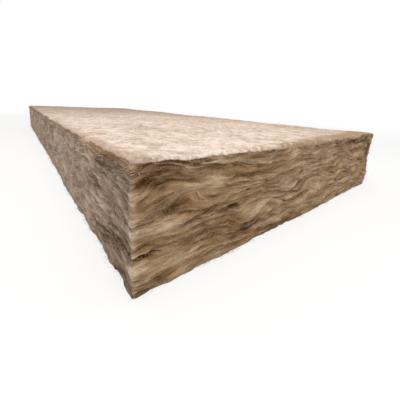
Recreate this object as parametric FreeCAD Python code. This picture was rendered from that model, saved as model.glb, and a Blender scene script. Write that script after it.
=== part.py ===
"""An unfaced glass wool insulation batt, lying flat, as one solid.

The batt is a rectangular slab of laminated wool. Its four sides are flat, upright cuts, with
a small radius at the foot. The upper face is a soft mat whose edge rolls over the cuts in a
larger radius, and the four upright corners are rounded too.

Frame: millimetres, +Z up. The origin is at the centre of the footprint, on the plane that
the batt rests on. X runs along the length and Y across the width.
"""

import FreeCAD, Part
import os

# Overall size of the batt.
LENGTH = 1160.0
WIDTH = 430.0
THICKNESS = 90.0

# Roundings: the upright corners, the edge of the upper face and the edge of the foot.
CORNER_RADIUS = 6.0
UPPER_EDGE_RADIUS = 5.0
FOOT_RADIUS = 2.5

# The least flat left on a wall beside a rounding, and the slack when an edge is looked up
# by its place.
LEAST_FLAT = 0.5
PLACE_SLACK = 1e-6

PARTS_FOLDER = "parts"
NODE = "insulation_batt"


def limited(radius, wall):
    """The radius, or the most that a wall of this width has room for."""
    return min(radius, wall - LEAST_FLAT)


def upright_edges(shape):
    """The straight edges of a shape that stand upright."""
    return [edge for edge in shape.Edges if edge.BoundBox.ZLength > PLACE_SLACK]


def rim_edges(shape, height):
    """The edges of a shape that lie level at this height."""
    return [
        edge
        for edge in shape.Edges
        if all(abs(vertex.Z - height) < PLACE_SLACK for vertex in edge.Vertexes)
    ]


def insulation_batt():
    """The whole batt as one solid: a slab with its corners, upper edge and foot rounded."""
    corner_radius = limited(CORNER_RADIUS, min(LENGTH, WIDTH) / 2)
    upper_radius = limited(UPPER_EDGE_RADIUS, THICKNESS / 2)
    foot_radius = limited(FOOT_RADIUS, THICKNESS / 2)
    footprint_corner = FreeCAD.Vector(-LENGTH / 2, -WIDTH / 2, 0)
    batt = Part.makeBox(LENGTH, WIDTH, THICKNESS, footprint_corner)
    batt = batt.makeFillet(corner_radius, upright_edges(batt))
    batt = batt.makeFillet(foot_radius, rim_edges(batt, 0.0))
    batt = batt.makeFillet(upper_radius, rim_edges(batt, THICKNESS))
    return batt.Solids[0]


def main():
    """Builds the batt and writes it to the parts folder."""
    os.makedirs(PARTS_FOLDER, exist_ok=True)
    batt = insulation_batt()
    batt.exportStep(f"{PARTS_FOLDER}/{NODE}.step")
    box = batt.optimalBoundingBox()
    print(
        f"{NODE}: {box.XLength:.2f} x {box.YLength:.2f} x {box.ZLength:.2f} mm, "
        f"{batt.Volume / 1e6:.3f} litres, valid {batt.isValid()}"
    )


main()
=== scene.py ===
"""An unfaced glass wool insulation batt, lying flat on a pale studio floor.

The batt is modelled as the wool that shows: four cut faces where thin laminations wave, fold
and part, a paler fleece on top whose edge rolls over them, the face it lies on, and the loose
fibres that stand off all of these. Everything is in metres, in the frame of the solid batt.
"""

import logging
from dataclasses import dataclass, replace
from enum import Enum
from typing import Callable, Union

import bmesh
import bpy
from mathutils import Matrix, Vector


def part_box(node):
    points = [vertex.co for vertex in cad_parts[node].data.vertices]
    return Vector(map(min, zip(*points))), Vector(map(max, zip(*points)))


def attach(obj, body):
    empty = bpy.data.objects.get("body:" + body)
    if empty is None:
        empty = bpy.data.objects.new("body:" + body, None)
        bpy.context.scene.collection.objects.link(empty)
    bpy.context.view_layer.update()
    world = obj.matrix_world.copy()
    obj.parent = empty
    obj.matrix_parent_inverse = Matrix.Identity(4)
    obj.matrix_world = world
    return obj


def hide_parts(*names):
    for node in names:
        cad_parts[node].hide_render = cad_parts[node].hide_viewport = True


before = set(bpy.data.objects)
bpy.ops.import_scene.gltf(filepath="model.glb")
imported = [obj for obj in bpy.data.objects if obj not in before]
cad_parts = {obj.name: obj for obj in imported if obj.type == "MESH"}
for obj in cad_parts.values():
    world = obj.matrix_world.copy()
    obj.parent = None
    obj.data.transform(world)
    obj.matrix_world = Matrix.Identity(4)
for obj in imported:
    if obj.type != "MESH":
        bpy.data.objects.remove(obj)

LOG = logging.getLogger("batt")
MM = 0.001
BATT = "insulation_batt"
BODY = "root"

# What a point's rest place and a fibre's own tone are stored under.
REST = "rest"
TONE = "tone"

# The most cuts that one edge takes at a time, and how straight an edge along an axis is.
MOST_CUTS = 100
STRAIGHT = 0.999

# The lowest place that a point is pushed to: just above the floor, and free sideways.
ABOVE_FLOOR = (-9.0, -9.0, 0.2 * MM)

# The shift from one noise to the next, and what brings a noise to about -1 to 1.
NOISE_SHIFT = (7.31, 3.17, 5.73)
NOISE_MIDDLE = 0.5
NOISE_GAIN = 4.0

# The share of a spot's reach inside which it is felt in full.
SPOT_CORE = 0.15

# A face looks a way where its normal goes at least this far along it, and a core reaches
# this high where the top isn't to be rounded.
FACING = 0.5
FAR_ABOVE = 1.0

# The wool's dull gloss and the softness of its sheen.
WOOL_SPECULAR = 0.05
SHEEN_ROUGHNESS = 0.6

Pair = tuple[float, float]
Triple = tuple[float, float, float]
Shade = tuple[float, float, float, float]


class Number:
    """A node's number, on which sums can be written."""

    def __init__(self, graph: "Graph", socket: bpy.types.NodeSocket) -> None:
        """Wraps a socket.

        Args:
            graph: The node graph that the socket is in.
            socket: An output that carries a number.
        """
        self.graph = graph
        self.socket = socket

    def __add__(self, other: "Amount") -> "Number":
        """This plus the other."""
        return self.graph.math("ADD", self, other)

    def __sub__(self, other: "Amount") -> "Number":
        """This minus the other."""
        return self.graph.math("SUBTRACT", self, other)

    def __mul__(self, other: "Amount") -> "Number":
        """This times the other."""
        return self.graph.math("MULTIPLY", self, other)

    def __rsub__(self, other: "Amount") -> "Number":
        """The other minus this."""
        return self.graph.math("SUBTRACT", other, self)

    __radd__ = __add__
    __rmul__ = __mul__

    def away_from(self, value: float) -> "Number":
        """How far this is from a value, either way."""
        return self.graph.math("ABSOLUTE", self - value)

    def step(self, low: float, high: float) -> "Number":
        """A smooth rise from 0 at low to 1 at high, or a fall where low is above high."""
        if low > high:
            return 1.0 - self.step(high, low)
        ramp = self.graph.node(
            "ShaderNodeMapRange",
            {"interpolation_type": "SMOOTHSTEP"},
            {"Value": self, "From Min": low, "From Max": high},
        )
        return Number(self.graph, ramp.outputs[0])

    def stretched(self, low: float, high: float) -> "Number":
        """A straight rise from 0 at low to 1 at high, held at both ends."""
        ramp = self.graph.node(
            "ShaderNodeMapRange",
            {"clamp": True},
            {"Value": self, "From Min": low, "From Max": high},
        )
        return Number(self.graph, ramp.outputs[0])


class Arrow:
    """A node's vector, on which sums can be written."""

    def __init__(self, graph: "Graph", socket: bpy.types.NodeSocket) -> None:
        """Wraps a socket.

        Args:
            graph: The node graph that the socket is in.
            socket: An output that carries a vector.
        """
        self.graph = graph
        self.socket = socket

    def _vector(self, operation: str, other: "Direction") -> "Arrow":
        """This and the other, through one Vector Math node."""
        settings = {"operation": operation}
        made = self.graph.node("ShaderNodeVectorMath", settings, {0: self, 1: other})
        return Arrow(self.graph, made.outputs[0])

    def __add__(self, other: "Direction") -> "Arrow":
        """This plus the other."""
        return self._vector("ADD", other)

    def __sub__(self, other: "Direction") -> "Arrow":
        """This minus the other."""
        return self._vector("SUBTRACT", other)

    def __mul__(self, other: "Direction") -> "Arrow":
        """This times the other, part by part."""
        return self._vector("MULTIPLY", other)

    def __truediv__(self, other: "Direction") -> "Arrow":
        """This divided by the other, part by part."""
        return self._vector("DIVIDE", other)

    def at_least(self, other: "Direction") -> "Arrow":
        """The larger of the two, part by part."""
        return self._vector("MAXIMUM", other)

    def at_most(self, other: "Direction") -> "Arrow":
        """The smaller of the two, part by part."""
        return self._vector("MINIMUM", other)

    def times(self, length: "Amount") -> "Arrow":
        """This, longer or shorter."""
        settings = {"operation": "SCALE"}
        made = self.graph.node("ShaderNodeVectorMath", settings, {0: self, "Scale": length})
        return Arrow(self.graph, made.outputs[0])

    def along(self, other: "Direction") -> Number:
        """How far this vector reaches along another."""
        settings = {"operation": "DOT_PRODUCT"}
        made = self.graph.node("ShaderNodeVectorMath", settings, {0: self, 1: other})
        return Number(self.graph, made.outputs["Value"])

    def unit(self) -> "Arrow":
        """This, one metre long."""
        made = self.graph.node("ShaderNodeVectorMath", {"operation": "NORMALIZE"}, {0: self})
        return Arrow(self.graph, made.outputs[0])

    def parts(self) -> tuple[Number, Number, Number]:
        """The three numbers of this."""
        made = self.graph.node("ShaderNodeSeparateXYZ", {}, {0: self})
        return tuple(Number(self.graph, out) for out in made.outputs)


Amount = Union[Number, float]
Direction = Union[Arrow, Triple]


@dataclass(frozen=True)
class Grain:
    """One noise: its lumps' size in metres, which one it is, its finer octaves and their strength."""

    size: Triple
    seed: int
    detail: float = 2.0
    roughness: float = 0.5


def even(size: float) -> Triple:
    """The same size along each axis."""
    return (size, size, size)


class Graph:
    """A node tree that is written as expressions."""

    def __init__(self, tree: bpy.types.NodeTree) -> None:
        """Starts from an empty tree.

        Args:
            tree: A shader or geometry node tree. Its nodes are cleared.
        """
        self.tree = tree
        tree.nodes.clear()

    def node(
        self, kind: str, settings: dict[str, object], inputs: dict[Union[str, int], object]
    ) -> bpy.types.Node:
        """Adds one node.

        Args:
            kind: The node's type.
            settings: The node's own settings, set before its sockets.
            inputs: A value, Number, Arrow or socket for each input, by name or place.

        Returns:
            The new node.
        """
        made = self.tree.nodes.new(kind)
        for name, value in settings.items():
            setattr(made, name, value)
        for key, value in inputs.items():
            if isinstance(value, (Number, Arrow)):
                value = value.socket
            if isinstance(value, bpy.types.NodeSocket):
                self.tree.links.new(value, made.inputs[key])
            else:
                made.inputs[key].default_value = value
        return made

    def math(self, operation: str, *operands: Amount) -> Number:
        """A Math node on one or two numbers."""
        made = self.node("ShaderNodeMath", {"operation": operation}, dict(enumerate(operands)))
        return Number(self, made.outputs[0])

    def length(self, arrow: Arrow) -> Number:
        """How long a vector is."""
        made = self.node("ShaderNodeVectorMath", {"operation": "LENGTH"}, {0: arrow})
        return Number(self, made.outputs["Value"])

    def random_number(self, low: float, high: float, seed: int) -> Number:
        """A number between two, picked anew for each item."""
        bounds = {2: low, 3: high, "Seed": seed}
        made = self.node("FunctionNodeRandomValue", {"data_type": "FLOAT"}, bounds)
        return Number(self, made.outputs[1])

    def random_arrow(self, seed: int) -> Arrow:
        """A vector with parts from -1 to 1, picked anew for each item."""
        bounds = {0: even(-1.0), 1: even(1.0), "Seed": seed}
        made = self.node("FunctionNodeRandomValue", {"data_type": "FLOAT_VECTOR"}, bounds)
        return Arrow(self, made.outputs[0])

    def seen_as_backdrop(self) -> Number:
        """1 where a surface is seen, straight or in gloss or glass, and 0 where it only lights."""
        path = self.node("ShaderNodeLightPath", {}, {})
        straight = Number(self, path.outputs["Is Camera Ray"])
        glossy = Number(self, path.outputs["Is Glossy Ray"])
        clear = Number(self, path.outputs["Is Transmission Ray"])
        return (straight + glossy + clear).step(0.0, 1.0)

    def joined(self, x: Amount, y: Amount, z: Amount) -> Arrow:
        """A vector from three numbers."""
        made = self.node("ShaderNodeCombineXYZ", {}, {0: x, 1: y, 2: z})
        return Arrow(self, made.outputs[0])

    def _noise(self, where: Arrow, grain: Grain) -> bpy.types.Node:
        """The node of one noise, read at a place."""
        shift = tuple(grain.seed * part for part in NOISE_SHIFT)
        place = where / grain.size + shift
        finer = {"Detail": grain.detail, "Roughness": grain.roughness}
        return self.node("ShaderNodeTexNoise", {}, {"Vector": place, "Scale": 1.0, **finer})

    def noise(self, where: Arrow, grain: Grain) -> Number:
        """Smooth noise about 0, mostly from -1 to 1."""
        return (Number(self, self._noise(where, grain).outputs[0]) - NOISE_MIDDLE) * NOISE_GAIN

    def noise_arrow(self, where: Arrow, grain: Grain) -> Arrow:
        """Smooth noise in each of three directions, mostly from -1 to 1."""
        made = Arrow(self, self._noise(where, grain).outputs[1])
        return (made - even(NOISE_MIDDLE)).times(NOISE_GAIN)

    def colour(self, factor: Amount, low: object, high: object) -> bpy.types.NodeSocket:
        """A colour between two others.

        Args:
            factor: 0 gives low and 1 gives high.
            low: A colour or a socket.
            high: A colour or a socket.

        Returns:
            The mixed colour.
        """
        made = self.node("ShaderNodeMix", {"data_type": "RGBA"}, {"Factor": factor, 6: low, 7: high})
        return made.outputs[2]


def srgb(red: int, green: int, blue: int) -> Shade:
    """A colour as it is named on a colour card, turned into light.

    Args:
        red: From 0 to 255.
        green: From 0 to 255.
        blue: From 0 to 255.

    Returns:
        The same colour as a node takes it.
    """

    def light(level: int) -> float:
        """One part of the colour."""
        share = level / 255
        return share / 12.92 if share <= 0.04045 else ((share + 0.055) / 1.055) ** 2.4

    return (light(red), light(green), light(blue), 1.0)


@dataclass(frozen=True)
class Spot:
    """One place with a soft border. Its centre and reach are in metres."""

    centre: Triple
    reach: Triple
    strength: float

    def felt(self, graph: Graph, where: Arrow) -> Number:
        """How strongly it is felt at a place."""
        offset = (where - self.centre) / self.reach
        return graph.length(offset).step(1.0, SPOT_CORE) * self.strength


def from_corner(corner: Vector, spots: tuple[Spot, ...]) -> tuple[Spot, ...]:
    """Spots whose centres were counted from a corner, put in their place on the batt."""
    return tuple(replace(spot, centre=tuple(corner + Vector(spot.centre))) for spot in spots)


@dataclass(frozen=True)
class Laminations:
    """How the wool's thin leaves lie in the batt, wave and part. Sizes are in metres."""

    low: Vector
    high: Vector
    folds: tuple[Spot, ...]
    hollows: tuple[Spot, ...]
    wave: Grain = Grain((0.090, 0.090, 0.034), 1, 1.0)
    wave_height: float = 6.0 * MM
    ripple: Grain = Grain((0.026, 0.026, 0.012), 2, 1.0)
    ripple_height: float = 1.8 * MM
    leaf: Grain = Grain((0.040, 0.040, 0.0046), 3, 2.0, 0.55)
    fine_leaf: Grain = Grain((0.015, 0.015, 0.0018), 4, 2.0, 0.6)
    strand: Grain = Grain((0.0080, 0.0080, 0.0007), 7, 2.0, 0.6)
    clump: Grain = Grain((0.022, 0.022, 0.012), 8, 2.0, 0.6)
    band: Grain = Grain((0.100, 0.100, 0.0100), 24)
    parting: Grain = Grain((0.085, 0.085, 0.0080), 5, 1.5)
    parting_width: float = 0.24
    parting_run: Grain = Grain((0.040, 0.040, 0.020), 6, 1.0)
    parting_ends: Pair = (-0.25, 0.45)
    ragged: Grain = Grain(even(0.010), 41, 1.0)
    ragged_reach: float = 2.2 * MM

    def levelled(self, graph: Graph, where: Arrow) -> Arrow:
        """The place with its height counted along the waving leaves.

        Args:
            graph: The graph to write in.
            where: A place on the resting wool.

        Returns:
            The same place, its height raised and lowered by the waves.
        """
        rise = graph.noise(where, self.wave) * self.wave_height
        rise = rise + graph.noise(where, self.ripple) * self.ripple_height
        for fold in self.folds:
            rise = rise + fold.felt(graph, where)
        return where - graph.joined(0.0, 0.0, rise)

    def hollow(self, graph: Graph, where: Arrow) -> Number:
        """How hollow the wool is: above 0 in a hollow, below 0 on a swelling. It pushes the walls in and
        out, and the cut finish paints shade into the hollows and light onto the swellings.
        """
        ragged = where + graph.noise_arrow(where, self.ragged).times(self.ragged_reach)
        total = graph.math("ADD", 0.0, 0.0)
        for spot in self.hollows:
            total = total + spot.felt(graph, ragged)
        return total

    def partings(self, graph: Graph, level: Arrow) -> Number:
        """Where leaves have come apart: 1 in the gap and 0 in closed wool."""
        line = graph.noise(level, self.parting).away_from(0.0).step(self.parting_width, 0.0)
        return line * graph.noise(level, self.parting_run).step(*self.parting_ends)


class Material:
    """A procedural wool material that reads where each point lay at rest."""

    def __init__(self, name: str) -> None:
        """Starts the node tree.

        Args:
            name: The material's name.
        """
        self.made = bpy.data.materials.new(name)
        self.made.use_nodes = True
        self.graph = Graph(self.made.node_tree)
        stored = self.graph.node("ShaderNodeAttribute", {"attribute_name": REST}, {})
        self.rest = Arrow(self.graph, stored.outputs["Vector"])

    def finish(
        self, colour: bpy.types.NodeSocket, height: Number, depth: float, sheen: float = 0.0
    ) -> bpy.types.Material:
        """Adds the shader.

        Args:
            colour: The colour.
            height: The height of the fine relief.
            depth: How many metres of relief one unit of height is.
            sheen: The sheen of standing fibres all over.

        Returns:
            The material.
        """
        bumps = {"Strength": 1.0, "Distance": depth, "Height": height}
        bump = self.graph.node("ShaderNodeBump", {}, bumps)
        shader = self.graph.node(
            "ShaderNodeBsdfPrincipled",
            {},
            {
                "Base Color": colour,
                "Roughness": 1.0,
                "Specular IOR Level": WOOL_SPECULAR,
                "Sheen Weight": sheen,
                "Sheen Roughness": SHEEN_ROUGHNESS,
                "Normal": bump.outputs[0],
            },
        )
        self.graph.node("ShaderNodeOutputMaterial", {}, {"Surface": shader.outputs[0]})
        return self.made


@dataclass(frozen=True)
class CutWoolFinish:
    """The finish of a cut face: brown leaves, painted with shade in the gaps between them, in hollows
    and under the fleece's edge, and with light on swellings and along the corners.

    The tone runs from 0 for dark to 1 for light, and a share is what one pattern adds to it.
    """

    name: str
    dark: Shade
    middle: Shade
    light: Shade
    # The colour of the painted shade in partings, in hollows and under the fleece's edge.
    gap: Shade
    leaf_share: float
    clump_share: float
    brighter: Triple
    base: float
    fine_share: float = 0.21
    strand_share: float = 0.15
    grit_share: float = 0.09
    band_share: float = 0.15
    patch_share: float = 0.08
    # A painted highlight along the vertical corners: how much it lifts the tone, and how wide it is.
    corner_highlight_share: float = 0.28
    corner_highlight_width: float = 5.5 * MM
    # How strong the painted shade in the partings and the painted shadow under the fleece's edge are,
    # where that band lies and how it breaks up.
    parting_shade_strength: float = 0.55
    under_lip_shadow_strength: float = 0.40
    brow_below_top: Pair = (20.0 * MM, 5.0 * MM)
    under_lip_shadow_ends: Pair = (-0.8, 0.5)
    # The painted shade in hollows, weaker on paler wool, and the painted light on swellings.
    hollow_shade_in_dark: float = 1.75
    hollow_shade_fade: float = 1.7
    swelling_highlight_strength: float = 0.6
    strand_height: float = 0.5
    fine_height: float = 0.4
    grit_height: float = 0.45
    depth: float = 0.9 * MM
    grit: Grain = Grain((0.0018, 0.0018, 0.0011), 21, 2.0, 0.7)
    brow: Grain = Grain((0.05, 0.05, 0.03), 22, 1.0)
    patch: Grain = Grain((0.07, 0.07, 0.03), 23, 1.0)

    def colour(
        self, graph: Graph, rest: Arrow, leaves: Laminations
    ) -> tuple[bpy.types.NodeSocket, Number]:
        """The colour and the fine relief of cut wool.

        Args:
            graph: The graph to write in.
            rest: Where the point lay at rest.
            leaves: The laminations that the wool was shaped by.

        Returns:
            The colour, and the height of the fine relief.
        """
        high = leaves.high
        level = leaves.levelled(graph, rest)
        across, away, height = rest.parts()
        fine = graph.noise(level, leaves.fine_leaf)
        strand = graph.noise(level, leaves.strand)
        grit = graph.noise(rest, self.grit)
        tone = graph.noise(level, leaves.leaf) * self.leaf_share + fine * self.fine_share
        tone = tone + strand * self.strand_share
        tone = tone + graph.noise(rest, leaves.clump) * self.clump_share + grit * self.grit_share
        tone = tone + graph.noise(level, leaves.band) * self.band_share
        tone = tone + graph.noise(rest, self.patch) * self.patch_share
        tone = tone + rest.along(self.brighter) + self.base
        # A painted highlight along the vertical corners.
        corner = across.away_from(0.0).step(high.x - self.corner_highlight_width, high.x)
        corner = corner * away.away_from(0.0).step(high.y - self.corner_highlight_width, high.y)
        tone = tone + corner * self.corner_highlight_share
        made = graph.colour(tone.stretched(0.0, 0.5), self.dark, self.middle)
        made = graph.colour(tone.stretched(0.5, 1.0), made, self.light)
        # Painted shade in the partings between leaves.
        made = graph.colour(leaves.partings(graph, level) * self.parting_shade_strength, made, self.gap)
        # A painted shadow in a band under the fleece's edge.
        brow = height.step(*(high.z - depth for depth in self.brow_below_top))
        brow = brow * graph.noise(rest, self.brow).step(*self.under_lip_shadow_ends)
        made = graph.colour(brow * self.under_lip_shadow_strength, made, self.gap)
        # Painted shade in hollows and painted light on swellings.
        hollow = leaves.hollow(graph, rest)
        darker = hollow * (self.hollow_shade_in_dark - tone * self.hollow_shade_fade)
        made = graph.colour(darker.stretched(0.0, 1.0), made, self.gap)
        paler = (hollow * -self.swelling_highlight_strength).step(0.0, 1.0)
        made = graph.colour(paler, made, self.light)
        relief = strand * self.strand_height + fine * self.fine_height + grit * self.grit_height
        return made, relief

    def build(self, leaves: Laminations) -> bpy.types.Material:
        """Makes the material.

        Args:
            leaves: The laminations that the faces were shaped by.

        Returns:
            The material.
        """
        material = Material(self.name)
        colour, relief = self.colour(material.graph, material.rest, leaves)
        return material.finish(colour, relief, self.depth)


@dataclass(frozen=True)
class FleeceFinish:
    """The finish of the upper face: pale, fleecy and blotched, with painted shade that darkens it away
    from the lit near corner, over brown wool at its edge.

    The tone and its shares are as in the cut wool. A run says where along the batt, in metres
    from its middle, something fades in, and a band how far in from an edge or below the top.
    """

    wool: CutWoolFinish
    droops: tuple[Spot, ...]
    name: str = "upper_fleece"
    pale: Shade = srgb(238, 222, 207)
    middle: Shade = srgb(212, 190, 171)
    brown: Shade = srgb(172, 144, 122)
    fleck: Shade = srgb(138, 108, 82)
    # The colour of the painted shade away from the lit near corner.
    falloff_shade: Shade = srgb(186, 160, 141)
    rolled: Shade = srgb(166, 137, 106)
    base: float = 0.64
    broad: Grain = Grain(even(0.11), 31, 1.0)
    broad_share: float = 0.18
    blotch: Grain = Grain(even(0.020), 32, 3.0, 0.65)
    blotch_share: float = 0.42
    wisp: Grain = Grain(even(0.0065), 35, 2.0, 0.6)
    wisp_share: float = 0.42
    grit: Grain = Grain(even(0.0022), 33, 2.0, 0.7)
    grit_share: float = 0.32
    # Painted shade: the fleece darkens towards the back end and towards the far long side, away from the
    # lit near corner.
    falloff_back_run: Pair = (0.40, -0.40)
    falloff_back: float = 0.60
    falloff_left_run: Pair = (0.02, 0.20)
    falloff_left: float = 0.34
    falloff_share: float = 0.55
    falloff_strength: float = 0.85
    speck: Grain = Grain(even(0.0042), 34, 2.0, 0.7)
    speck_ends: Pair = (0.40, 1.05)
    speck_strength: float = 0.6
    ragged: Grain = Grain((0.011, 0.011, 0.2), 37, 3.0, 0.7)
    ragged_reach: float = 8.0 * MM
    fray_band: Pair = (12.0 * MM, 2.0 * MM)
    fray_run: Pair = (0.05, 0.40)
    fray_strength: float = 0.60
    rolled_band: Pair = (18.0 * MM, 0.0)
    rolled_run: Pair = (-0.130, -0.030)
    rolled_wider_run: Pair = (-0.05, 0.14)
    rolled_wider: float = 16.0 * MM
    rolled_ragged: Pair = (0.8, 2.0)
    rolled_in_dark: float = 1.55
    rolled_strength: float = 0.9
    brim: Grain = Grain((0.020, 0.020, 0.2), 36, 4.0, 0.72)
    brim_reach: float = 1.5 * MM
    brim_band: Pair = (1.4 * MM, 2.6 * MM)
    blotch_height: float = 0.8
    wisp_height: float = 0.6
    grit_height: float = 0.5
    depth: float = 1.1 * MM
    sheen: float = 0.05

    def build(self, leaves: Laminations) -> bpy.types.Material:
        """Makes the material.

        Args:
            leaves: The laminations of the wool at its edge.

        Returns:
            The material.
        """
        material = Material(self.name)
        graph, rest, high = material.graph, material.rest, leaves.high
        across, away, height = rest.parts()
        blotch, wisp = graph.noise(rest, self.blotch), graph.noise(rest, self.wisp)
        grit = graph.noise(rest, self.grit)
        tone = graph.noise(rest, self.broad) * self.broad_share + blotch * self.blotch_share
        tone = tone + wisp * self.wisp_share + grit * self.grit_share + self.base
        # Painted shade, darker away from the lit near corner.
        falloff_shade = across.step(*self.falloff_back_run) * self.falloff_back
        falloff_shade = falloff_shade + away.step(*self.falloff_left_run) * self.falloff_left
        tone = tone - falloff_shade * self.falloff_share
        colour = graph.colour(tone.stretched(0.0, 0.5), self.brown, self.middle)
        colour = graph.colour(tone.stretched(0.5, 1.0), colour, self.pale)
        colour = graph.colour(falloff_shade * self.falloff_strength, colour, self.falloff_shade)
        speck = graph.noise(rest, self.speck).step(*self.speck_ends)
        colour = graph.colour(speck * self.speck_strength, colour, self.fleck)
        ragged = graph.noise(rest, self.ragged) * self.ragged_reach
        fray = (away.away_from(0.0) + ragged).step(*(high.y - inward for inward in self.fray_band))
        fray = fray * across.step(*self.fray_run) * self.fray_strength
        colour = graph.colour(fray, colour, self.brown)
        ragged_across, ragged_away = self.rolled_ragged
        wider = away.step(*self.rolled_wider_run) * self.rolled_wider
        rolled = across + ragged * ragged_across + wider
        rolled = rolled.step(*(high.x - inward for inward in self.rolled_band))
        rolled = rolled * (away + ragged * ragged_away).step(*self.rolled_run)
        rolled = (rolled * (self.rolled_in_dark - tone)).step(0.0, 1.0)
        colour = graph.colour(rolled * self.rolled_strength, colour, self.rolled)
        brim = graph.noise(rest, self.brim) * self.brim_reach
        for spot in self.droops:
            brim = brim + spot.felt(graph, rest)
        below = (height + brim).step(*(high.z - depth for depth in self.brim_band))
        # Below the brim the fleece takes the cut wool's colour, with its painted shade.
        side_colour, _ = self.wool.colour(graph, rest, leaves)
        colour = graph.colour(below, colour, side_colour)
        relief = blotch * self.blotch_height + wisp * self.wisp_height + grit * self.grit_height
        return material.finish(colour, relief, self.depth, self.sheen)


def choose_edges(wanted: Callable[[Vector, Vector], bool]) -> None:
    """Selects, in edit mode, just the edges whose two ends pass a test."""
    bpy.ops.mesh.select_mode(type="EDGE")
    bpy.ops.mesh.select_all(action="DESELECT")
    mesh = bmesh.from_edit_mesh(bpy.context.edit_object.data)
    for edge in mesh.edges:
        edge.select_set(wanted(edge.verts[0].co, edge.verts[1].co))
    bmesh.update_edit_mesh(bpy.context.edit_object.data)


def choose_faces(wanted: Callable[[Vector, Vector], bool]) -> None:
    """Selects, in edit mode, just the faces whose centre and normal pass a test."""
    bpy.ops.mesh.select_mode(type="FACE")
    bpy.ops.mesh.select_all(action="DESELECT")
    mesh = bmesh.from_edit_mesh(bpy.context.edit_object.data)
    for face in mesh.faces:
        face.select_set(wanted(face.calc_center_median(), face.normal))
    bmesh.update_edit_mesh(bpy.context.edit_object.data)


def cut_along(
    axis: int, pitch: float, inside: Callable[[Vector], bool] = lambda middle: True
) -> None:
    """Divides every edge that runs along an axis into cells of about one pitch.

    Args:
        axis: 0, 1 or 2 for X, Y or Z.
        pitch: The length of a cell, in metres.
        inside: Says whether an edge with this middle is to be divided.
    """

    def cells(a: Vector, b: Vector) -> int:
        """How many cells an edge is to have, or 0 where it isn't divided."""
        along = abs((b - a)[axis]) > STRAIGHT * (b - a).length and inside((a + b) / 2)
        return round((b - a).length / pitch) if along else 0

    def counts() -> list[int]:
        """The different numbers of cells that edges are still to have."""
        mesh = bmesh.from_edit_mesh(bpy.context.edit_object.data)
        return sorted({cells(*(vertex.co for vertex in edge.verts)) for edge in mesh.edges} - {0, 1})

    for count in [count for count in counts() if count > MOST_CUTS]:
        choose_edges(lambda a, b: cells(a, b) == count)
        bpy.ops.mesh.subdivide(number_cuts=count // MOST_CUTS)
    for count in counts():
        choose_edges(lambda a, b: cells(a, b) == count)
        bpy.ops.mesh.subdivide(number_cuts=count - 1)


def add_box(name: str, low: Vector, high: Vector) -> bpy.types.Object:
    """Adds a box between two corners and leaves it in edit mode.

    Args:
        name: The new piece's name.
        low: The lowest corner.
        high: The highest corner.

    Returns:
        The box.
    """
    bpy.ops.object.select_all(action="DESELECT")
    bpy.ops.mesh.primitive_cube_add(size=1.0, location=(low + high) / 2, scale=high - low)
    piece = bpy.context.object
    piece.name = piece.data.name = name
    bpy.ops.object.transform_apply(location=True, rotation=True, scale=True)
    bpy.ops.object.mode_set(mode="EDIT")
    return piece


def close_back(centre: Vector, shrink: Triple) -> None:
    """Closes an open skin behind, in edit mode: its border is drawn in and capped.

    Args:
        centre: The point that the border is drawn towards.
        shrink: How much of the border's size is kept along each axis.
    """
    bpy.ops.mesh.select_mode(type="EDGE")
    bpy.ops.mesh.select_all(action="DESELECT")
    bpy.ops.mesh.select_non_manifold(
        use_wire=False, use_multi_face=False, use_non_contiguous=False, use_verts=False
    )
    bpy.ops.mesh.extrude_edges_move()
    bpy.ops.transform.resize(value=shrink, center_override=centre)
    bpy.ops.mesh.fill(use_beauty=False)
    bpy.ops.mesh.select_all(action="SELECT")
    bpy.ops.mesh.normals_make_consistent(inside=False)


def finish_piece(
    piece: bpy.types.Object, material: bpy.types.Material
) -> bpy.types.Object:
    """Args:
        piece: The shaped piece.
        material: Its material.

    Returns:
        The same piece.
    """
    piece.data.materials.clear()
    piece.data.materials.append(material)
    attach(piece, BODY)
    LOG.info("%s: %d faces", piece.name, len(piece.data.polygons))
    return piece


@dataclass(frozen=True)
class Rounding:
    """The box that a piece's surface is rounded about: a core and one radius."""

    low: Vector
    high: Vector
    radius: float

    def applied(self, graph: Graph, where: Arrow) -> tuple[Arrow, Arrow]:
        """Rounds the edges of a box.

        Args:
            graph: The graph to write in.
            where: A place on the square box.

        Returns:
            The place on the rounded box, and the way outwards there.
        """
        core = where.at_least(tuple(self.low)).at_most(tuple(self.high))
        outward = (where - core).unit()
        return core + outward.times(self.radius), outward


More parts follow.
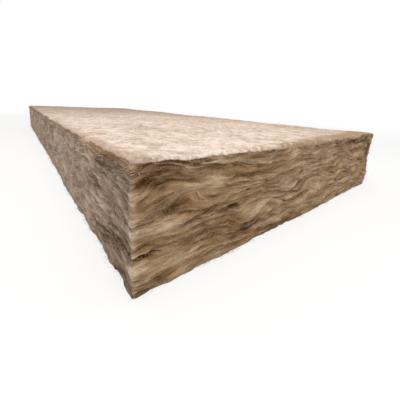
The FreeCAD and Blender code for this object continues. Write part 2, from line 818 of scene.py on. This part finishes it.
class Relief:
    """Pushes a piece's surface into shape and keeps where each point was at rest."""

    def __init__(self, name: str, rounding: Rounding) -> None:
        """Starts the node tree.

        Args:
            name: The tree's name.
            rounding: What the piece's edges are rounded to first.
        """
        tree = bpy.data.node_groups.new(name, "GeometryNodeTree")
        tree.interface.new_socket("Geometry", in_out="INPUT", socket_type="NodeSocketGeometry")
        tree.interface.new_socket("Geometry", in_out="OUTPUT", socket_type="NodeSocketGeometry")
        self.graph = Graph(tree)
        self.entry = self.graph.node("NodeGroupInput", {}, {})
        place = Arrow(self.graph, self.graph.node("GeometryNodeInputPosition", {}, {}).outputs[0])
        self.rest, self.outward = rounding.applied(self.graph, place)

    def apply(self, piece: bpy.types.Object, shift: Arrow) -> None:
        """Moves the points and applies the modifier.

        Args:
            piece: The piece to shape.
            shift: How far each point moves from its rounded rest place.
        """
        stored = self.graph.node(
            "GeometryNodeStoreNamedAttribute",
            {"data_type": "FLOAT_VECTOR", "domain": "POINT"},
            {"Geometry": self.entry.outputs[0], "Name": REST, "Value": self.rest},
        )
        moved = self.graph.node(
            "GeometryNodeSetPosition",
            {},
            {"Geometry": stored.outputs[0], "Position": (self.rest + shift).at_least(ABOVE_FLOOR)},
        )
        self.graph.node("NodeGroupOutput", {}, {0: moved.outputs[0]})
        modifier = piece.modifiers.new("relief", "NODES")
        modifier.node_group = self.graph.tree
        bpy.context.view_layer.objects.active = piece
        bpy.ops.object.modifier_apply(modifier=modifier.name)


class Side(Enum):
    """The four cut faces, and which way each looks."""

    END_FRONT = ("cut_end_front", (1, 0, 0))
    END_BACK = ("cut_end_back", (-1, 0, 0))
    SIDE_RIGHT = ("cut_side_right", (0, -1, 0))
    SIDE_LEFT = ("cut_side_left", (0, 1, 0))

    def __init__(self, title: str, way: tuple[int, int, int]) -> None:
        """Names a face and the way it looks.

        Args:
            title: The name of its piece.
            way: The way that it looks.
        """
        self.title = title
        self.way = Vector(way)


@dataclass
class CutFaces:
    """The four cut faces: one ring of wool, shaped as one and then parted at its corners.

    A pitch is the size of a cell along one direction. A height pushes outwards, a depth inwards.
    """

    low: Vector
    high: Vector
    leaves: Laminations
    below_top: float = 6.0 * MM
    radius: float = 0.8 * MM
    long_pitch: float = 1.3 * MM
    far_long_pitch: float = 1.9 * MM
    end_pitch: float = 1.0 * MM
    row_pitch: float = 1.1 * MM
    leaf_height: float = 1.1 * MM
    fine_height: float = 0.4 * MM
    clump_height: float = 0.7 * MM
    bulge: Grain = Grain((0.09, 0.09, 0.06), 9, 1.0)
    bulge_height: float = 1.3 * MM
    lump: Grain = Grain((0.024, 0.024, 0.016), 10)
    lump_height: float = 0.9 * MM
    parting_depth: float = 1.7 * MM
    hollow_depth: float = 1.3 * MM
    brow_below_top: Pair = (18.0 * MM, 8.0 * MM)
    brow_depth: float = 0.9 * MM
    sag: float = 0.5
    sag_above_foot: Pair = (2.0 * MM, 12.0 * MM)
    back_depth: float = 16.0 * MM
    back_taper: float = 0.7

    def _ring(self) -> bpy.types.Object:
        """The four walls as a fine grid, with no top or bottom."""
        top = Vector((self.high.x, self.high.y, self.high.z - self.below_top))
        ring = add_box("cut_faces", self.low, top)
        choose_faces(lambda centre, normal: abs(normal.z) > FACING)
        bpy.ops.mesh.delete(type="ONLY_FACE")
        for index, side in enumerate(Side):
            bpy.ops.object.mode_set(mode="OBJECT")
            ring.data.materials.append(bpy.data.materials.new(side.title))
            bpy.ops.object.mode_set(mode="EDIT")
            choose_faces(lambda centre, normal: normal.dot(side.way) > FACING)
            ring.active_material_index = index
            bpy.ops.object.material_slot_assign()
        cut_along(0, self.long_pitch, lambda middle: middle.y < 0)
        cut_along(0, self.far_long_pitch, lambda middle: middle.y > 0)
        cut_along(1, self.end_pitch)
        cut_along(2, self.row_pitch)
        bpy.ops.object.mode_set(mode="OBJECT")
        return ring

    def _shape(self, ring: bpy.types.Object) -> None:
        """Gives the walls their laminations, gaps and bulges."""
        inset = Vector(even(self.radius))
        core_high = Vector((self.high.x, self.high.y, FAR_ABOVE)) - inset
        relief = Relief("cut_relief", Rounding(self.low + inset, core_high, self.radius))
        graph, rest, leaves = relief.graph, relief.rest, self.leaves
        level = leaves.levelled(graph, rest)
        height = rest.parts()[2]
        out = graph.noise(level, leaves.leaf) * self.leaf_height
        out = out + graph.noise(level, leaves.fine_leaf) * self.fine_height
        out = out + graph.noise(rest, leaves.clump) * self.clump_height
        out = out + graph.noise(rest, self.bulge) * self.bulge_height
        out = out + graph.noise(rest, self.lump) * self.lump_height
        out = out - leaves.partings(graph, level) * self.parting_depth
        out = out - leaves.hollow(graph, rest) * self.hollow_depth
        brow = height.step(*(self.high.z - depth for depth in self.brow_below_top))
        out = out - brow * self.brow_depth
        foot = height.step(*(self.low.z + rise for rise in self.sag_above_foot))
        sag = graph.joined(0.0, 0.0, out * -self.sag * foot)
        relief.apply(ring, relief.outward.times(out) + sag)

    def _close(self, side: Side, wall: bpy.types.Object) -> None:
        """Names one wall and closes it behind."""
        wall.name = wall.data.name = side.title
        bpy.ops.object.select_all(action="DESELECT")
        wall.select_set(True)
        bpy.context.view_layer.objects.active = wall
        bpy.ops.object.shade_smooth()
        bpy.ops.object.mode_set(mode="EDIT")
        half = (self.high - self.low) / 2
        plane = (self.low + self.high) / 2 + side.way * (half - Vector(even(self.back_depth)))
        kept = tuple(
            0.0 if abs(way) > FACING else 1 - self.back_taper * self.back_depth / reach
            for way, reach in zip(side.way, half)
        )
        close_back(plane, kept)
        bpy.ops.object.mode_set(mode="OBJECT")

    def _part(self, ring: bpy.types.Object) -> dict[Side, bpy.types.Object]:
        """Parts the ring at its corners and closes each wall behind."""
        bpy.ops.object.mode_set(mode="EDIT")
        bpy.ops.mesh.separate(type="MATERIAL")
        bpy.ops.object.mode_set(mode="OBJECT")
        sides = {side.title: side for side in Side}
        parted = list(bpy.context.selected_objects)
        walls = {sides[wall.data.materials[0].name]: wall for wall in parted}
        for side, wall in walls.items():
            self._close(side, wall)
        return walls

    def build(
        self, end_finish: CutWoolFinish, side_finish: CutWoolFinish
    ) -> dict[Side, bpy.types.Object]:
        """Builds, shapes, parts and dresses the four walls.

        Args:
            end_finish: The finish of the two ends.
            side_finish: The finish of the two long sides.

        Returns:
            The four pieces, by side.
        """
        ring = self._ring()
        self._shape(ring)
        walls = self._part(ring)
        end_material = end_finish.build(self.leaves)
        side_material = side_finish.build(self.leaves)
        for side, wall in walls.items():
            finish_piece(wall, end_material if side.way.x else side_material)
        return walls


@dataclass
class UpperFleece:
    """The mat on the upper face, with the edge that rolls over the cut faces."""

    low: Vector
    high: Vector
    puffs: tuple[Spot, ...]
    rolls: tuple[Spot, ...]
    depth: float = 10.0 * MM
    overhang: float = 0.2 * MM
    radius: float = 2.8 * MM
    pitch: float = 2.6 * MM
    row_pitch: float = 1.2 * MM
    tuck: float = 12.0 * MM
    back_rise: float = 2.0 * MM
    swell: Grain = Grain((0.16, 0.16, 0.2), 11, 1.0)
    swell_height: float = 1.0 * MM
    lump: Grain = Grain(even(0.022), 12, 3.0, 0.6)
    lump_height: float = 0.8 * MM
    edge: Grain = Grain((0.040, 0.040, 0.08), 13, 1.0)
    edge_height: float = 1.2 * MM
    wave: Grain = Grain((0.060, 0.060, 0.09), 14)
    wave_height: float = 1.2 * MM
    edge_ends: Pair = (0.0, 0.6)

    def _mat(self, low: Vector, high: Vector) -> bpy.types.Object:
        """The mat as a fine grid, open below."""
        mat = add_box("upper_fleece", low, high)
        choose_faces(lambda centre, normal: normal.z < -FACING)
        bpy.ops.mesh.delete(type="ONLY_FACE")
        cut_along(0, self.pitch)
        cut_along(1, self.pitch)
        cut_along(2, self.row_pitch)
        bpy.ops.object.mode_set(mode="OBJECT")
        return mat

    def build(self, finish: FleeceFinish, leaves: Laminations) -> bpy.types.Object:
        """Builds and dresses the mat.

        Args:
            finish: Its finish.
            leaves: The laminations of the wool at its edge.

        Returns:
            The piece.
        """
        out = Vector((self.overhang, self.overhang, 0))
        low = Vector((self.low.x, self.low.y, self.high.z - self.depth)) - out
        high = self.high + out
        mat = self._mat(low, high)
        inset = Vector(even(self.radius))
        relief = Relief("fleece_relief", Rounding(low + inset, high - inset, self.radius))
        graph, rest = relief.graph, relief.rest
        sideways = (1.0 - relief.outward.parts()[2].away_from(0.0)).step(*self.edge_ends)
        push = graph.noise(rest, self.lump) * self.lump_height
        push = push + graph.noise(rest, self.edge) * self.edge_height * sideways
        for roll in self.rolls:
            push = push + roll.felt(graph, rest) * sideways
        rise = graph.noise(rest, self.swell) * self.swell_height
        rise = rise + graph.noise(rest, self.wave) * sideways * self.wave_height
        for puff in self.puffs:
            rise = rise + puff.felt(graph, rest)
        relief.apply(mat, relief.outward.times(push) + graph.joined(0.0, 0.0, rise))
        bpy.ops.object.shade_smooth()
        bpy.ops.object.mode_set(mode="EDIT")
        back = Vector((0, 0, low.z + self.back_rise))
        close_back(back, (1 - self.tuck / high.x, 1 - self.tuck / high.y, 0.0))
        bpy.ops.object.mode_set(mode="OBJECT")
        return finish_piece(mat, finish.build(leaves))


@dataclass
class UnderFace:
    """The face that the batt lies on, with the wool above it closed."""

    low: Vector
    high: Vector
    inset: float = 4.0 * MM
    lift: float = 0.6 * MM
    depth: float = 10.0 * MM
    pitch: float = 8.0 * MM
    radius: float = 2.0 * MM
    dent: Grain = Grain(even(0.03), 15, 3.0, 0.6)
    dent_ends: Pair = (0.0, 1.5)
    dent_height: float = 1.2 * MM
    back_kept: Triple = (0.98, 0.95, 1.0)

    def build(self, material: bpy.types.Material) -> bpy.types.Object:
        """Builds and dresses the face.

        Args:
            material: Its material.

        Returns:
            The piece.
        """
        low = self.low + Vector((self.inset, self.inset, self.lift))
        high = Vector((self.high.x - self.inset, self.high.y - self.inset, self.depth))
        base = add_box("under_face", low, high)
        choose_faces(lambda centre, normal: normal.z > FACING)
        bpy.ops.mesh.delete(type="ONLY_FACE")
        cut_along(0, self.pitch)
        cut_along(1, self.pitch)
        bpy.ops.object.mode_set(mode="OBJECT")
        inset = Vector(even(self.radius))
        core_high = high - inset + Vector((0, 0, FAR_ABOVE))
        relief = Relief("under_relief", Rounding(low + inset, core_high, self.radius))
        graph, rest = relief.graph, relief.rest
        dents = graph.noise(rest, self.dent).step(*self.dent_ends) * self.dent_height
        relief.apply(base, graph.joined(0.0, 0.0, dents))
        bpy.ops.object.shade_smooth()
        bpy.ops.object.mode_set(mode="EDIT")
        close_back(Vector((0, 0, high.z)), self.back_kept)
        bpy.ops.object.mode_set(mode="OBJECT")
        return finish_piece(base, material)


@dataclass(frozen=True)
class FibreFinish:
    """The finish of loose fibres: each one its own shade between two."""

    name: str
    dark: Shade
    light: Shade
    roughness: float = 0.9
    specular: float = 0.2

    def build(self) -> bpy.types.Material:
        """Makes the material."""
        made = bpy.data.materials.new(self.name)
        made.use_nodes = True
        graph = Graph(made.node_tree)
        shade = graph.node("ShaderNodeAttribute", {"attribute_name": TONE}, {})
        colour = graph.colour(Number(graph, shade.outputs["Fac"]), self.dark, self.light)
        inputs = {"Base Color": colour, "Roughness": self.roughness, "Specular IOR Level": self.specular}
        shader = graph.node("ShaderNodeBsdfPrincipled", {}, inputs)
        graph.node("ShaderNodeOutputMaterial", {}, {"Surface": shader.outputs[0]})
        return made


@dataclass(frozen=True)
class FibreCoat:
    """Loose fibres on one piece.

    Sizes are in metres, and spread is their number to a square metre. Scatter says how far
    they may turn along each axis, and lift how much they stand up. The root and tip are where
    a fibre starts and ends, as shares of its length from the wool.
    """

    name: str
    spread: float
    longest: float
    thickness: float
    scatter: Triple
    lift: float
    seed: int
    shortest: float = 3.0 * MM
    curl: float = 0.8 * MM
    curl_size: float = 9.0 * MM
    knots: int = 3
    bare_top: float = 0.0
    top_ends: Pair = (0.5, 0.9)
    back_ends: Pair = (0.0, 0.02)
    tuft: Triple = (0.018, 0.018, 0.010)
    tuft_ends: Pair = (-0.6, 0.6)
    root: float = -0.35
    tip: float = 0.65
    end_thickness: float = 0.25
    taper_ends: Pair = (0.5, 0.1)
    corners: int = 3

    def _roots(self, graph: Graph, place: Arrow, source: bpy.types.Object) -> bpy.types.Node:
        """The places that fibres stand on: in tufts, and not on the hidden back."""
        normal = Arrow(graph, graph.node("GeometryNodeInputNormal", {}, {}).outputs[0])
        settings = {"transform_space": "ORIGINAL"}
        wool = graph.node("GeometryNodeObjectInfo", settings, {"Object": source})
        thick = graph.noise(place, Grain(self.tuft, self.seed, 1.0)).step(*self.tuft_ends)
        thick = thick * normal.along(place).step(*self.back_ends)
        thick = thick * (1.0 - normal.parts()[2].step(*self.top_ends) * self.bare_top)
        density = {"Density": thick * self.spread, "Seed": self.seed}
        return graph.node(
            "GeometryNodeDistributePointsOnFaces",
            {"distribute_method": "RANDOM"},
            {"Mesh": wool.outputs["Geometry"], **density},
        )

    def _sown(self, graph: Graph, roots: bpy.types.Node) -> bpy.types.Node:
        """Straight fibres on their roots, each of its own length, way and tone."""
        scatter = graph.random_arrow(self.seed + 1) * self.scatter
        way = scatter + Arrow(graph, roots.outputs["Normal"]).times(self.lift)
        turn = graph.node("FunctionNodeAlignRotationToVector", {"axis": "Z"}, {"Vector": way})
        ends = {"Start": (0, 0, self.root), "End": (0, 0, self.tip)}
        line = graph.node("GeometryNodeCurvePrimitiveLine", {}, ends)
        knots = {"Curve": line.outputs[0], "Count": self.knots}
        knotted = graph.node("GeometryNodeResampleCurve", {}, knots)
        sown = graph.node(
            "GeometryNodeInstanceOnPoints",
            {},
            {
                "Points": roots.outputs["Points"],
                "Instance": knotted.outputs[0],
                "Rotation": turn.outputs[0],
                "Scale": graph.random_number(self.shortest, self.longest, self.seed + 2),
            },
        )
        tone = graph.random_number(0.0, 1.0, self.seed + 3)
        toned = graph.node(
            "GeometryNodeStoreNamedAttribute",
            {"data_type": "FLOAT", "domain": "INSTANCE"},
            {"Geometry": sown.outputs[0], "Name": TONE, "Value": tone},
        )
        return graph.node("GeometryNodeRealizeInstances", {}, {"Geometry": toned.outputs[0]})

    def _thickened(self, graph: Graph, curves: bpy.types.Node) -> bpy.types.Node:
        """The curves as thin strands that taper to both ends."""
        along = Number(graph, graph.node("GeometryNodeSplineParameter", {}, {}).outputs["Factor"])
        middle = (along - 0.5).away_from(0.0).step(*self.taper_ends)
        thin = self.end_thickness * self.thickness
        taper = middle * (self.thickness - thin) + thin
        circle = {"Resolution": self.corners, "Radius": 0.5}
        section = graph.node("GeometryNodeCurvePrimitiveCircle", {"mode": "RADIUS"}, circle)
        return graph.node(
            "GeometryNodeCurveToMesh",
            {},
            {
                "Curve": curves.outputs[0],
                "Profile Curve": section.outputs[0],
                "Scale": taper,
                "Fill Caps": True,
            },
        )

    def build(self, source: bpy.types.Object, finish: FibreFinish) -> bpy.types.Object:
        """Scatters the fibres, bends each and gives them their thickness.

        Args:
            source: The piece that they stand on.
            finish: Their finish.

        Returns:
            All the fibres, as one piece.
        """
        tree = bpy.data.node_groups.new(self.name, "GeometryNodeTree")
        tree.interface.new_socket("Geometry", in_out="INPUT", socket_type="NodeSocketGeometry")
        tree.interface.new_socket("Geometry", in_out="OUTPUT", socket_type="NodeSocketGeometry")
        graph = Graph(tree)
        graph.node("NodeGroupInput", {}, {})
        place = Arrow(graph, graph.node("GeometryNodeInputPosition", {}, {}).outputs[0])
        fibres = self._sown(graph, self._roots(graph, place, source))
        wander = graph.noise_arrow(place, Grain(even(self.curl_size), self.seed + 4, 1.0))
        curled = (place + wander.times(self.curl)).at_least(ABOVE_FLOOR)
        moves = {"Geometry": fibres.outputs[0], "Position": curled}
        strands = self._thickened(graph, graph.node("GeometryNodeSetPosition", {}, moves))
        graph.node("NodeGroupOutput", {}, {0: strands.outputs[0]})
        bpy.ops.object.select_all(action="DESELECT")
        bpy.ops.mesh.primitive_plane_add(size=MM)
        coat = bpy.context.object
        coat.name = coat.data.name = self.name
        modifier = coat.modifiers.new("fibres", "NODES")
        modifier.node_group = tree
        bpy.ops.object.modifier_apply(modifier=modifier.name)
        bpy.ops.object.shade_smooth()
        return finish_piece(coat, finish.build())


@dataclass(frozen=True)
class Seam:
    """A split between leaves that runs in from a corner and closes: hollows along an arc, pushed in and
    painted with shade.

    Places are in metres from the corner. Sag is how far the middle stands above a straight
    line, and strength how open the split is at its start.
    """

    start: Triple
    end: Triple
    sag: float
    strength: float
    spots: int = 5
    overlap: float = 0.8
    depth: float = 20.0 * MM
    height: float = 2.3 * MM
    fade: float = 0.3

    def hollows(self) -> tuple[Spot, ...]:
        """The hollows, from the start to the end."""
        first, last = Vector(self.start), Vector(self.end)
        reach = (self.overlap * (last - first).length / (self.spots - 1), self.depth, self.height)
        made = []
        for index in range(self.spots):
            share = index / (self.spots - 1)
            arch = Vector((0.0, 0.0, 4 * self.sag * share * (1 - share)))
            place = tuple(first.lerp(last, share) + arch)
            made.append(Spot(place, reach, self.strength * (1 - self.fade * share)))
        return tuple(made)


# Each spot's place is in metres from the foot of the near corner: along the batt, across it
# and up. A fold lifts the leaves. A hollow above 0 is pushed in and painted with shade; below 0 it
# swells out and is painted with light.
LEAF_FOLDS = (
    Spot((0.0, 0.025, 0.0770), (0.030, 0.024, 0.0200), 6.0 * MM),
    Spot((0.0, 0.043, 0.0620), (0.030, 0.015, 0.0110), 4.5 * MM),
    Spot((0.0, 0.105, 0.0260), (0.030, 0.045, 0.0180), -4.0 * MM),
    Spot((0.0, 0.235, 0.0400), (0.030, 0.050, 0.0200), 3.5 * MM),
)
# The first six hollows, just under the top, are the painted shadow under the fleece's edge; the rest are
# painted shade in hollows and, below 0, painted light on swellings.
END_HOLLOWS = (
    Spot((0.0, 0.039, 0.0850), (0.030, 0.058, 0.0065), 0.95),
    Spot((0.0, 0.155, 0.0850), (0.030, 0.050, 0.0036), 0.75),
    Spot((0.0, 0.225, 0.0850), (0.030, 0.045, 0.0036), 0.85),
    Spot((0.0, 0.283, 0.0850), (0.030, 0.028, 0.0045), 1.05),
    Spot((0.0, 0.336, 0.0825), (0.030, 0.032, 0.0042), 1.15),
    Spot((0.0, 0.387, 0.0800), (0.030, 0.040, 0.0038), 1.10),
    Spot((0.0, 0.015, 0.0740), (0.030, 0.018, 0.0060), 0.70),
    Spot((0.0, 0.028, 0.0560), (0.030, 0.017, 0.0120), 0.58),
    Spot((0.0, 0.045, 0.0670), (0.030, 0.026, 0.0060), -0.70),
    Spot((0.0, 0.084, 0.0415), (0.030, 0.038, 0.0034), 0.90),
    Spot((0.0, 0.014, 0.0285), (0.030, 0.017, 0.0032), 0.95),
    Spot((0.0, 0.205, 0.0310), (0.030, 0.032, 0.0038), 0.85),
    Spot((0.0, 0.114, 0.0165), (0.030, 0.042, 0.0090), 0.80),
    Spot((0.0, 0.195, 0.0570), (0.030, 0.013, 0.0036), 0.80),
    Spot((0.0, 0.256, 0.0655), (0.030, 0.010, 0.0032), 0.95),
    Spot((0.0, 0.301, 0.0285), (0.030, 0.011, 0.0038), 1.05),
    Spot((0.0, 0.417, 0.0640), (0.030, 0.020, 0.0200), 1.00),
    Spot((0.0, 0.295, 0.0150), (0.040, 0.080, 0.0120), -0.30),
    Spot((0.0, 0.215, 0.0500), (0.050, 0.150, 0.0650), -0.42),
)
# On the long side: painted shade near the near corner and painted light further back.
SIDE_SHADES = (
    Spot((0.0, 0.0, 0.0450), (0.110, 0.020, 0.1200), 0.20),
    Spot((-0.240, 0.0, 0.0450), (0.230, 0.050, 0.1200), -0.50),
)
CORNER_SEAM = Seam((-0.005, 0.0, 0.028), (-0.105, 0.0, 0.014), 2.5 * MM, 0.75)
FLEECE_DROOPS = (
    Spot((0.0, 0.195, 0.0880), (0.060, 0.110, 0.0300), 3.2 * MM),
    Spot((0.0, 0.025, 0.0880), (0.060, 0.030, 0.0300), 1.5 * MM),
)
FLEECE_ROLLS = (
    Spot((0.0, 0.380, 0.0880), (0.040, 0.070, 0.0300), 2.4 * MM),
    Spot((0.0, 0.430, 0.0880), (0.030, 0.020, 0.0300), 1.8 * MM),
)
FLEECE_PUFFS = (
    Spot((0.0, 0.395, 0.0900), (0.090, 0.050, 0.0400), 2.6 * MM),
    Spot((-0.060, 0.0, 0.0900), (0.070, 0.020, 0.0400), 1.2 * MM),
    Spot((0.0, 0.0, 0.0900), (0.060, 0.060, 0.0400), 3.6 * MM),
)

END_FINISH = CutWoolFinish(
    "cut_end",
    dark=srgb(92, 58, 20),
    middle=srgb(164, 133, 99),
    light=srgb(212, 186, 155),
    # The gap colour is the painted shade in partings, in hollows and under the fleece's edge.
    gap=srgb(64, 36, 6),
    leaf_share=0.36,
    clump_share=0.10,
    brighter=(0.0, 0.20, 0.0),
    base=0.57,
)
# The long sides' wool is painted greyer and cooler than the ends' for the shade they stand in.
SIDE_FINISH = CutWoolFinish(
    "cut_side",
    dark=srgb(112, 90, 70),
    middle=srgb(182, 159, 139),
    light=srgb(226, 207, 190),
    # The gap colour is the painted shade in partings, in hollows and under the fleece's edge.
    gap=srgb(70, 50, 32),
    leaf_share=0.20,
    clump_share=0.28,
    brighter=(-0.36, 0.0, 0.0),
    base=0.52,
)
TAN_FIBRE = FibreFinish("tan_fibre", srgb(124, 94, 62), srgb(196, 168, 136))
GREY_FIBRE = FibreFinish("grey_fibre", srgb(134, 110, 90), srgb(194, 172, 152))
CREAM_FIBRE = FibreFinish("cream_fibre", srgb(164, 134, 104), srgb(236, 220, 202))

END_SCATTER = (0.20, 1.0, 0.24)
SIDE_SCATTER = (1.0, 0.20, 0.36)
TOP_SCATTER = (1.0, 1.0, 0.08)
END_FRONT_COAT = FibreCoat("fibres_end_front", 280e3, 10 * MM, 0.17 * MM, END_SCATTER, 0.38, 101)
END_BACK_COAT = FibreCoat("fibres_end_back", 100e3, 11 * MM, 0.20 * MM, END_SCATTER, 0.30, 111)
SIDE_RIGHT_COAT = FibreCoat("fibres_side_right", 145e3, 10 * MM, 0.17 * MM, SIDE_SCATTER, 0.50, 121)
SIDE_LEFT_COAT = FibreCoat("fibres_side_left", 60e3, 11 * MM, 0.20 * MM, SIDE_SCATTER, 0.34, 131)
TOP_COAT = FibreCoat(
    "fibres_upper",
    90e3,
    13 * MM,
    0.19 * MM,
    TOP_SCATTER,
    0.12,
    141,
    shortest=5 * MM,
    curl=1.2 * MM,
    knots=4,
    bare_top=0.93,
)


@dataclass
class Studio:
    """The camera, the floor and the light. Places are in metres from the near corner's foot."""

    corner: Vector
    camera_from_corner: Triple = (121.5 * MM, -48.6 * MM, 124.2 * MM)
    ahead: Triple = (-0.766, 0.618, -0.177)
    right: Triple = (0.621, 0.782, 0.045)
    lens: float = 20.59
    sensor: float = 36.0
    shift_up: float = -0.133
    nearest: float = 5.0 * MM
    floor_size: float = 40.0
    floor_shade: Shade = srgb(236, 234, 231)
    floor_glow_run: Pair = (0.7, 2.2)
    floor_glow: float = 0.75
    white: Shade = (1.0, 1.0, 1.0, 1.0)
    world_strength: float = 0.62
    lamp_power: float = 16.0
    lamp_size: float = 1.2
    lamp_from_corner: Triple = (0.17, -0.135, 1.3)
    lit_from_corner: Triple = (-0.23, 0.165, 0.0)

    def _camera(self) -> None:
        """Places the camera low beside the near corner."""
        ahead = Vector(self.ahead).normalized()
        right = Vector(self.right)
        right = (right - ahead * right.dot(ahead)).normalized()
        turn = Matrix((right, right.cross(ahead), -ahead)).transposed()
        data = bpy.data.cameras.new("camera")
        data.lens = self.lens
        data.sensor_width = self.sensor
        data.shift_y = self.shift_up
        data.clip_start = self.nearest
        camera = bpy.data.objects.new("camera", data)
        place = self.corner + Vector(self.camera_from_corner)
        camera.matrix_world = Matrix.Translation(place) @ turn.to_4x4()
        bpy.context.scene.collection.objects.link(camera)
        bpy.context.scene.camera = camera

    def _floor(self) -> None:
        """Adds a floor that shows white and keeps the batt's shadow."""
        bpy.ops.mesh.primitive_plane_add(size=self.floor_size)
        floor = bpy.context.object
        floor.name = floor.data.name = "floor"
        material = bpy.data.materials.new("floor")
        material.use_nodes = True
        graph = Graph(material.node_tree)
        place = Arrow(graph, graph.node("ShaderNodeTexCoord", {}, {}).outputs["Object"])
        further = graph.length(place).step(*self.floor_glow_run)
        whiteness = further * (1.0 - self.floor_glow) + self.floor_glow
        factor = graph.seen_as_backdrop() * whiteness
        matt = graph.node("ShaderNodeBsdfDiffuse", {}, {"Color": self.floor_shade})
        glow = graph.node("ShaderNodeEmission", {}, {"Color": self.white, "Strength": 1.0})
        shades = {0: factor, 1: matt.outputs[0], 2: glow.outputs[0]}
        mixed = graph.node("ShaderNodeMixShader", {}, shades)
        graph.node("ShaderNodeOutputMaterial", {}, {"Surface": mixed.outputs[0]})
        floor.data.materials.append(material)

    def _light(self) -> None:
        """Adds the soft box and the pale surroundings."""
        world = bpy.data.worlds.new("studio")
        bpy.context.scene.world = world
        world.use_nodes = True
        graph = Graph(world.node_tree)
        strength = graph.seen_as_backdrop() * (1.0 - self.world_strength) + self.world_strength
        shade = graph.node("ShaderNodeBackground", {}, {"Color": self.white, "Strength": strength})
        graph.node("ShaderNodeOutputWorld", {}, {"Surface": shade.outputs[0]})
        lamp = bpy.data.lights.new("soft_box", "AREA")
        lamp.energy = self.lamp_power
        lamp.size = self.lamp_size
        box = bpy.data.objects.new("soft_box", lamp)
        box.location = self.corner + Vector(self.lamp_from_corner)
        lit = self.corner + Vector(self.lit_from_corner)
        box.rotation_euler = (lit - box.location).to_track_quat("-Z", "Y").to_euler()
        bpy.context.scene.collection.objects.link(box)
        bpy.context.scene.view_settings.view_transform = "Standard"

    def build(self) -> None:
        """Builds the studio."""
        self._camera()
        self._floor()
        self._light()


def main() -> None:
    """Builds the batt, then the studio."""
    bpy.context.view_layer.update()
    low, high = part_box(BATT)
    corner = Vector((high.x, low.y, low.z))
    folds = from_corner(corner, LEAF_FOLDS)
    hollows = from_corner(corner, END_HOLLOWS + SIDE_SHADES + CORNER_SEAM.hollows())
    leaves = Laminations(low, high, folds, hollows)
    walls = CutFaces(low, high, leaves).build(END_FINISH, SIDE_FINISH)
    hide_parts(BATT)
    puffs, rolls = from_corner(corner, FLEECE_PUFFS), from_corner(corner, FLEECE_ROLLS)
    fleece_finish = FleeceFinish(END_FINISH, from_corner(corner, FLEECE_DROOPS))
    fleece = UpperFleece(low, high, puffs, rolls).build(fleece_finish, leaves)
    UnderFace(low, high).build(walls[Side.END_FRONT].data.materials[0])
    END_FRONT_COAT.build(walls[Side.END_FRONT], TAN_FIBRE)
    END_BACK_COAT.build(walls[Side.END_BACK], TAN_FIBRE)
    SIDE_RIGHT_COAT.build(walls[Side.SIDE_RIGHT], GREY_FIBRE)
    SIDE_LEFT_COAT.build(walls[Side.SIDE_LEFT], GREY_FIBRE)
    TOP_COAT.build(fleece, CREAM_FIBRE)
    Studio(corner).build()


if __name__ == "__main__":
    logging.basicConfig(level=logging.INFO, format="%(message)s")
    main()
